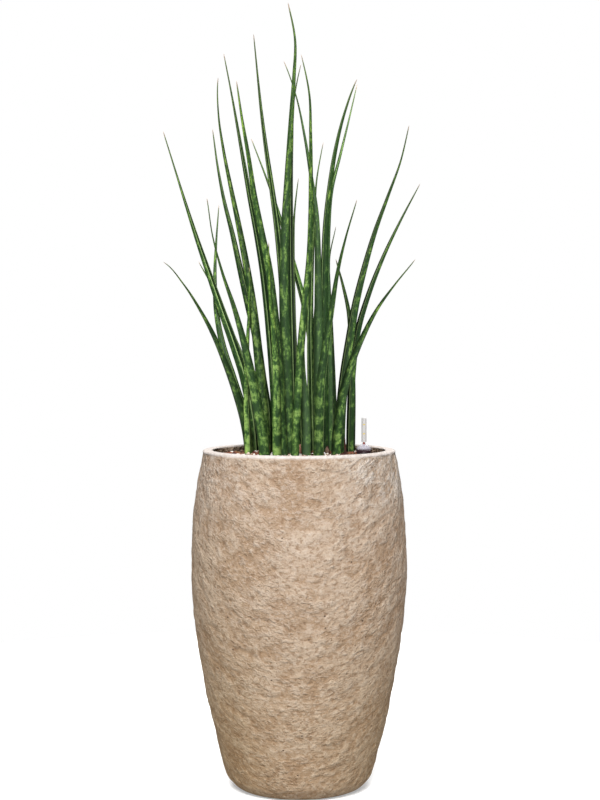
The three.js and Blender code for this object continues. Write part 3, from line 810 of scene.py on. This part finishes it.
ABOVE_PLANTER = 720  # height to look down from
GAUGE_SPARE = 3  # granules keep this far from the gauge
LEAF_SPARE = 1.03  # and this many times a leaf's radius from its middle


def soil_height_reader():
    """A function that gives the height of the substrate's top at a place, in millimetres."""
    mesh = NODES["substrate"].data
    tree = BVHTree.FromPolygons([v.co for v in mesh.vertices], [p.vertices for p in mesh.polygons])

    def read(x, y):
        hit = tree.ray_cast(Vector((x * MM, y * MM, ABOVE_PLANTER * MM)), Vector((0, 0, -1)))[0]
        return hit.z / MM if hit else 0.0

    return read


def standing_things():
    """Circles (x, y, radius) that the granules keep clear of."""
    found = []
    for name in NODES:
        if name.startswith("leaf_"):
            ring = leaf_rings(name)[0]
            found.append((ring[0], ring[1], ring[3] * LEAF_SPARE))
        elif name == "gauge_sight_tube" or name.startswith("sheath_"):
            low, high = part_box(name)
            middle, size = (low + high) / 2 / MM, (high - low) / MM
            spare = GAUGE_SPARE if name == "gauge_sight_tube" else 0
            found.append((middle.x, middle.y, max(size.x, size.y) / 2 + spare))
    return np.array(found)


# Colours of the granules, and the share of each.
GRANULE_TINTS = [
    ((226, 221, 212), 0.30), ((196, 180, 160), 0.20), ((120, 74, 58), 0.14),
    ((84, 50, 42), 0.14), ((60, 46, 38), 0.12), ((132, 96, 66), 0.10),
]
# Larger bits that stand out: (x, y, half of the width, bottom, top, colour as on a screen).
PLACED_BITS = [
    (2, 2, 2.6, 668, 688, (176, 128, 108)),
    (-20, 24, 2.4, 667, 674, (206, 120, 66)),
    (56, -6, 4.6, 664, 682, (112, 92, 78)),
    (67, 0, 2.6, 664, 677, (98, 50, 36)),
    (-85, 2, 4.2, 662, 672, (226, 220, 212)),
    (-78, -8, 2.6, 662, 670, (236, 232, 228)),
    (-110, -14, 3.0, 662, 670, (232, 228, 222)),
    (-120, -8, 2.6, 662, 670, (226, 220, 212)),
    (-52, 2, 3.0, 664, 673, (236, 234, 232)),
    (8, -14, 3.0, 664, 673, (234, 228, 220)),
    (22, -20, 2.6, 664, 672, (226, 220, 210)),
    (38, -22, 2.8, 664, 672, (232, 228, 222)),
    (50, -22, 3.2, 664, 673, (232, 236, 232)),
    (57, -20, 2.8, 664, 672, (216, 208, 196)),
]
GRANULE_COUNT = 1900
TRIES_EACH = 30  # places tried for each granule, at most
GRANULE_RADII = (1.8, 4.6)
GRANULE_STRETCH = (0.65, 1.25)
GRANULE_SHADES = (0.8, 1.1)
SOIL_EDGE = 170.0  # radius of the substrate that they lie on
TO_OTHERS = 0.95  # how near a granule's middle comes to what stands there, a share of its radius
TO_GRANULES = 0.72  # and to another granule, a share of both radii: they overlap as in a heap
PALE_TINTS = 2  # the first ones of GRANULE_TINTS are pale
BEHIND = 24  # y from which the substrate is behind the gauge and looks as it does elsewhere
PAINTED_SHADE_ZONE = ((84, SOIL_EDGE), (-60, BEHIND))  # ranges of x and y beside the gauge where granules get painted shade, a darker tint
SUNK = ((106, 158), (-40, BEHIND))  # and before the gauge, where they lie deeper
PAINTED_SHADE_SHARE = 0.7
RISE, SUNK_RISE = 0.2, -0.5  # how high a granule's middle lies, a share of its radius


def within(x, y, ranges):
    return all(low < value < high for value, (low, high) in zip((x, y), ranges))


def ball():
    """Corner points and triangles of a ball with 80 faces: an icosahedron with its faces cut in four."""
    golden = (1 + 5**0.5) / 2
    corners = np.array([(s, t * golden, 0) for s in (-1, 1) for t in (-1, 1)], float)
    corners = np.r_[corners, np.roll(corners, 1, axis=1), np.roll(corners, 2, axis=1)]
    corners /= norm(corners[0])
    gap = norm(corners[:, None] - corners[None], axis=2)
    edge = np.min(gap[gap > 0.01]) * 1.05
    triangles = []
    for a, b, c in itertools.combinations(range(len(corners)), 3):
        if gap[a, b] < edge and gap[b, c] < edge and gap[a, c] < edge:
            outward = np.dot(np.cross(corners[b] - corners[a], corners[c] - corners[a]), corners[a])
            triangles.append((a, b, c) if outward > 0 else (a, c, b))
    points, middles, faces = list(corners), {}, []

    def middle(a, b):
        key = (min(a, b), max(a, b))
        if key not in middles:
            point = points[a] + points[b]
            points.append(point / norm(point))
            middles[key] = len(points) - 1
        return middles[key]

    for a, b, c in triangles:
        ab, bc, ca = middle(a, b), middle(b, c), middle(c, a)
        faces += [(a, ab, ca), (b, bc, ab), (c, ca, bc), (ab, bc, ca)]
    return np.array(points), np.array(faces)


def granule_shares(x, y):
    """Share of each tint at a place. Pale ones are rare towards the back and before the gauge."""
    shares = np.array([share for _, share in GRANULE_TINTS])
    bare = 0 if y > BEHIND else smoothstep(60, 90, x) * smoothstep(-75, -50, y)
    shares[:PALE_TINTS] *= (1 - 0.9 * smoothstep(-20, 10, y)) * (1 - bare)
    return shares / shares.sum()


def build_granules():
    """Pumice, lava and crumbs of bark that lie loose on the substrate."""
    unit, faces = ball()
    soil_height = soil_height_reader()
    standing = standing_things()
    vertices, triangles, tints = [], [], []

    def add_lump(shape, tint):
        triangles.append(faces + len(vertices) * len(unit))
        vertices.append(shape)
        tints.append(np.tile(tint, (len(unit), 1)))

    placed = []
    for _ in range(GRANULE_COUNT * TRIES_EACH):
        if len(placed) == GRANULE_COUNT:
            break
        size = GRANULE_RADII[0] + (GRANULE_RADII[1] - GRANULE_RADII[0]) * random.random() ** 2
        reach, angle = (SOIL_EDGE - size) * math.sqrt(random.random()), random.random() * 2 * math.pi
        x, y = reach * math.cos(angle), reach * math.sin(angle)
        if np.any(np.hypot(standing[:, 0] - x, standing[:, 1] - y) < standing[:, 2] + size * TO_OTHERS):
            continue
        near = np.array(placed).reshape(-1, 3)
        if np.any(np.hypot(near[:, 0] - x, near[:, 1] - y) < (near[:, 2] + size) * TO_GRANULES):
            continue
        placed.append((x, y, size))
        stretch = random.uniform(*GRANULE_STRETCH, 3) * size
        lumps = 1 + 0.22 * noise(unit * 1.7 + len(placed) * 3.1, 31)
        right, back, up = (unit * lumps[:, None] * stretch).T
        spin = random.random() * 2 * math.pi
        cos, sin = math.cos(spin), math.sin(spin)
        shape = np.stack([right * cos - back * sin, right * sin + back * cos, up], axis=1)
        rise = SUNK_RISE if within(x, y, SUNK) else RISE
        pick = random.choice(len(GRANULE_TINTS), p=granule_shares(x, y))
        # Random tone, times painted shade beside the gauge.
        tone_and_painted_shading = random.uniform(*GRANULE_SHADES) * (PAINTED_SHADE_SHARE if within(x, y, PAINTED_SHADE_ZONE) else 1)
        tint = np.array(screen(*GRANULE_TINTS[pick][0])[:3]) * tone_and_painted_shading
        add_lump(shape + [x, y, soil_height(x, y) + size * rise], tint)
    for x, y, half_width, low, high, tint in PLACED_BITS:
        lumps = 1 + 0.3 * noise(unit * 1.9 + x, 32)
        shape = unit * lumps[:, None] * [half_width, half_width * 0.8, (high - low) / 2]
        add_lump(shape + [x, y, (low + high) / 2], np.array(screen(*tint)[:3]))
    made = add_mesh("granules", np.concatenate(vertices), np.concatenate(triangles).tolist(), GRANULES,
                    PLANT_BODY)
    add_values(made, "tint", np.concatenate(tints))


def dress(node, material):
    """A node of the frame that is shown as it is."""
    mesh = NODES[node].data
    mesh.materials.clear()
    mesh.materials.append(material)


# ---------- dry sheaths ----------


WELD_REACH = 0.02
SHEATH_LEVELS = 2  # of rounding
TORN_LENGTH = 30  # of a sheath's upper end
TORN_DEPTH = 0.5
TEAR_SIZE = 4


def build_sheath(node, order):
    """The frame's sheath, rounded and with a torn upper end."""
    made = add_object(node + "_scale", NODES[node].data.copy())
    weld = made.modifiers.new("weld", "WELD")
    weld.merge_threshold = WELD_REACH * MM
    finer = made.modifiers.new("finer", "SUBSURF")
    finer.levels = finer.render_levels = SHEATH_LEVELS
    shown = bpy.data.meshes.new_from_object(made.evaluated_get(bpy.context.evaluated_depsgraph_get()))
    bpy.data.objects.remove(made)
    co = np.array([v.co for v in shown.vertices]) / MM
    top = co[:, 2].max()
    share = smoothstep(top - TORN_LENGTH, top, co[:, 2])
    for axis, seed in ((0, 41), (1, 42)):
        co[:, axis] += TORN_DEPTH * share * noise(co / TEAR_SIZE + order, seed)
    faces = [tuple(p.vertices) for p in shown.polygons]
    add_mesh(node + "_scale", co, faces, DRY, PLANT_BODY, node)


# ---------- water gauge ----------

AXIS = 0.01  # a profile's points on the axis stand this far off it
TUBE_SIDES = 48  # of the pipe and the sight tube
FLOAT_SIDES = 32
COLLAR_HEIGHT = 8  # of the pipe's ribbed collar at the top
COLLAR_RIBS = 4
COLLAR_PITCH = 1.4
MARK_HEIGHTS = {"gauge_mark_max": 725.6, "gauge_mark_min": 707.0}
MARK_HALF_HEIGHT = 1.0
MARK_REACHES = (5.02, 5.14)  # of a mark's inner and outer face, just off the sight tube
MARK_TURN = (-118, -66)  # degrees round the tube that a mark covers, with -90 in front
MARK_COLUMNS = 7

# Profiles of the clear cap and sight tube, as radius and height: up the outside and down the inside.
TUBE_OUTSIDE = [
    (16, 667), (16, 674), (16, 675), (15.4, 677.4), (13.4, 680.5), (9.9, 683.6), (6.7, 685.1), (5, 686),
    (5, 688.6), (5, 690.4), (5, 739), (AXIS, 739),
]
TUBE_INSIDE = [
    (AXIS, 737.7), (3.7, 737.7), (3.7, 690.4), (3.7, 688.6), (3.7, 685.2), (5.4, 684.3), (8.6, 682.8),
    (12.1, 679.7), (14.1, 676.6), (14.7, 674.2), (14.7, 667),
]


def lathe(name, profile, sides, centre, material, body, node):
    """A turned piece. The profile goes from the axis round to the axis, or back to its own start."""
    closed = np.allclose(profile[0], profile[-1])
    profile = np.array(profile[:-1] if closed else profile, float)
    points = turned(profile, sides, centre)
    faces = grid_faces(len(profile), sides)
    if closed:
        last = (len(profile) - 1) * sides
        faces += [(last + c, last + (c + 1) % sides, (c + 1) % sides, c) for c in range(sides)]
    return add_mesh(name, points, faces, material, body, node)


def gauge_centre():
    """Where the gauge stands, and the radius of its pipe's collar."""
    low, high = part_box("gauge_pipe")
    return (low.x + high.x) / 2 / MM, (low.y + high.y) / 2 / MM, (high.x - low.x) / 2 / MM


def build_pipe():
    x, y, reach = gauge_centre()
    low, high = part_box("gauge_pipe")
    bottom, top = low.z / MM, high.z / MM
    ribs = []
    for rib in range(COLLAR_RIBS):
        z = top - COLLAR_HEIGHT + 0.4 + rib * COLLAR_PITCH
        ribs += [(reach, z), (reach - 0.5, z + 0.4), (reach - 0.5, z + 0.9), (reach, z + 1.2)]
    pipe = [(AXIS, bottom), (12.6, bottom), (13, bottom + 0.5), (13, top - COLLAR_HEIGHT)]
    pipe += [(reach, top - COLLAR_HEIGHT)] + ribs
    pipe += [(reach - 0.3, top - 1.2), (reach - 1.2, top - 0.3), (reach - 2, top), (11, top)]
    pipe += [(11, bottom + 2), (AXIS, bottom + 2)]
    lathe("gauge_pipe_dark", pipe, TUBE_SIDES, (x, y), DARK_PLASTIC, PLANT_BODY, "gauge_pipe")


def rounded(corners, reach, steps=4):
    """The corners of a profile with each one cut round at the given reach."""
    corners = [np.array(c, float) for c in corners]
    done = [corners[0]]
    for before, here, after in zip(corners, corners[1:], corners[2:]):
        back, ahead = before - here, after - here
        cut = min(reach, norm(back) * 0.45, norm(ahead) * 0.45)
        start = here + back / norm(back) * cut
        end = here + ahead / norm(ahead) * cut
        for share in np.linspace(0, 1, steps + 1):
            done.append((1 - share) ** 2 * start + 2 * share * (1 - share) * here + share**2 * end)
    return done + [corners[-1]]


def build_sight_tube():
    """The clear cap and tube, and how much each of its points covers what is behind it."""
    x, y, _ = gauge_centre()
    outer, inner = rounded(TUBE_OUTSIDE, 1.0), rounded(TUBE_INSIDE, 0.8)
    made = lathe("gauge_tube_clear", outer + inner + outer[:1], TUBE_SIDES, (x, y), CLEAR, PLANT_BODY,
                 "gauge_sight_tube")
    height = np.array([v.co.z for v in made.data.vertices]) / MM
    inside = (np.arange(len(height)) // TUBE_SIDES >= len(outer)).astype(float)
    # The skirt carries the painted refraction of the dark pipe: a dark colour and more cover.
    skirt = smoothstep(676.5, 674.5, height)
    dome = smoothstep(674.8, 678.5, height) * smoothstep(686.5, 685, height)
    neck = smoothstep(685, 686.5, height) * smoothstep(691, 690, height)
    tube = smoothstep(690, 691, height)
    cover = 0.012 + 0.35 * skirt + 0.29 * dome + (0.03 - 0.025 * inside) * neck + (0.8 - 0.77 * inside) * tube
    milky = smoothstep(685, 687, height)
    add_values(made, "clear", np.stack([cover, milky, skirt], axis=1))


def build_float():
    x, y, _ = gauge_centre()
    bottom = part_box("gauge_float")[0].z / MM
    profile = [
        (AXIS, bottom), (7, bottom), (9, bottom + 2), (9, bottom + 57), (6, bottom + 60),
        (1.3, bottom + 60), (1.3, POINTER_FOOT), (2.5, POINTER_FOOT), (2.5, POINTER_TOP - 1),
        (1.5, POINTER_TOP), (AXIS, POINTER_TOP),
    ]
    made = lathe("gauge_float_red", rounded(profile, 0.5, 3), FLOAT_SIDES, (x, y), RED, FLOAT_BODY,
                 "gauge_float")
    add_values(made, "height", np.array([v.co.z for v in made.data.vertices]) / MM)


def build_marks():
    """Two yellow level marks printed on the front of the sight tube."""
    x, y, _ = gauge_centre()
    turn = np.radians(np.linspace(*MARK_TURN, MARK_COLUMNS))
    inner_low, inner_high, outer_low, outer_high = (row * MARK_COLUMNS for row in range(4))
    last = MARK_COLUMNS - 1
    faces = []
    for row, after in ((inner_low, inner_high), (outer_low, inner_low), (outer_high, outer_low),
                       (inner_high, outer_high)):
        faces += [(row + i, row + i + 1, after + i + 1, after + i) for i in range(last)]
    faces.append((inner_low, inner_high, outer_high, outer_low))
    faces.append((inner_low + last, outer_low + last, outer_high + last, inner_high + last))
    for name, height in MARK_HEIGHTS.items():
        points = []
        for reach in MARK_REACHES:
            for z in (height - MARK_HALF_HEIGHT, height + MARK_HALF_HEIGHT):
                points += [(x + reach * math.cos(t), y + reach * math.sin(t), z) for t in turn]
        add_mesh(name, points, faces, YELLOW, PLANT_BODY, smooth=False)


# ---------- floor, light and camera ----------


FLOOR_REACH = 1.8  # radius, in metres
FLOOR_SIDES = 96
FLOOR_GREY = 0.64
FLOOR_GLOW = 0.4  # lifts the floor to white where the camera sees it


def add_stage():
    """A round white floor."""
    corners = [(FLOOR_REACH * math.cos(turn), FLOOR_REACH * math.sin(turn), 0)
               for turn in np.linspace(0, 2 * math.pi, FLOOR_SIDES, endpoint=False)]
    floor = bpy.data.meshes.new("floor")
    floor.from_pydata(corners, [], [tuple(range(FLOOR_SIDES))])
    look = Look("floor_white", 0.9, 0.0)
    look.colour((FLOOR_GREY, FLOOR_GREY, FLOOR_GREY, 1))
    look.shader.inputs["Emission Color"].default_value = (1, 1, 1, 1)
    seen = look.node("LightPath").outputs["Is Camera Ray"]
    look.put(look.shader.inputs["Emission Strength"], look.times(seen, FLOOR_GLOW))
    floor.materials.append(look.material)
    made = add_object("floor", floor)


def add_sun(name, side_deg, height_deg, strength, softness_deg):
    """A wide, soft light from far off, from a side (0 in front, 90 on the right) and a height."""
    light = bpy.data.lights.new(name, "SUN")
    light.energy = strength
    light.angle = math.radians(softness_deg)
    made = add_object(name, light)
    made.rotation_euler = (math.radians(90 - height_deg), 0, math.radians(side_deg))
    made.location = (0, 0, 3)


def add_surroundings(seen, lit):
    """A white backdrop, and the dimmer even light that comes from all round."""
    world = bpy.data.worlds.new("studio")
    world.use_nodes = True
    tree = world.node_tree
    background = tree.nodes["Background"]
    background.inputs["Color"].default_value = (1, 1, 1, 1)
    rays = tree.nodes.new("ShaderNodeLightPath")
    through = tree.nodes.new("ShaderNodeMath")
    through.operation = "MAXIMUM"
    tree.links.new(rays.outputs["Is Camera Ray"], through.inputs[0])
    tree.links.new(rays.outputs["Is Transmission Ray"], through.inputs[1])
    strength = tree.nodes.new("ShaderNodeMapRange")
    strength.inputs["To Min"].default_value = lit
    strength.inputs["To Max"].default_value = seen
    tree.links.new(through.outputs["Value"], strength.inputs["Value"])
    tree.links.new(strength.outputs["Result"], background.inputs["Strength"])
    bpy.context.scene.world = world


# The camera that was fitted to the photo.
SENSOR = 36
FOCAL_PIXELS, PHOTO_HEIGHT = 1762, 800  # focal length and height of the photo, in its pixels
EYE = (0.001994, -3.5127, 0.9267)
DOWNWARD_DEG = 2.45


def add_camera():
    camera = bpy.data.cameras.new("camera")
    camera.sensor_width = SENSOR
    camera.lens = SENSOR * FOCAL_PIXELS / PHOTO_HEIGHT
    camera.clip_end = 100
    eye = add_object("camera", camera)
    eye.location = EYE
    eye.rotation_euler = (math.radians(90 - DOWNWARD_DEG), 0, 0)
    bpy.context.scene.camera = eye


def names_of(kind):
    return sorted(name for name in NODES if name.startswith(kind))


build_planter()
for order, name in enumerate(names_of("leaf_")):
    build_leaf(name, order)
for order, name in enumerate(names_of("sheath_")):
    build_sheath(name, order)
build_granules()
build_pipe()
build_sight_tube()
build_float()
build_marks()
dress("substrate", SOIL)

add_stage()
add_surroundings(seen=1.0, lit=0.12)
add_sun("key", side_deg=-3, height_deg=42, strength=6.2, softness_deg=24)
add_sun("top", side_deg=0, height_deg=82, strength=1.6, softness_deg=50)
add_sun("back", side_deg=180, height_deg=30, strength=2.2, softness_deg=40)
add_camera()
bpy.context.scene.view_settings.view_transform = "Standard"
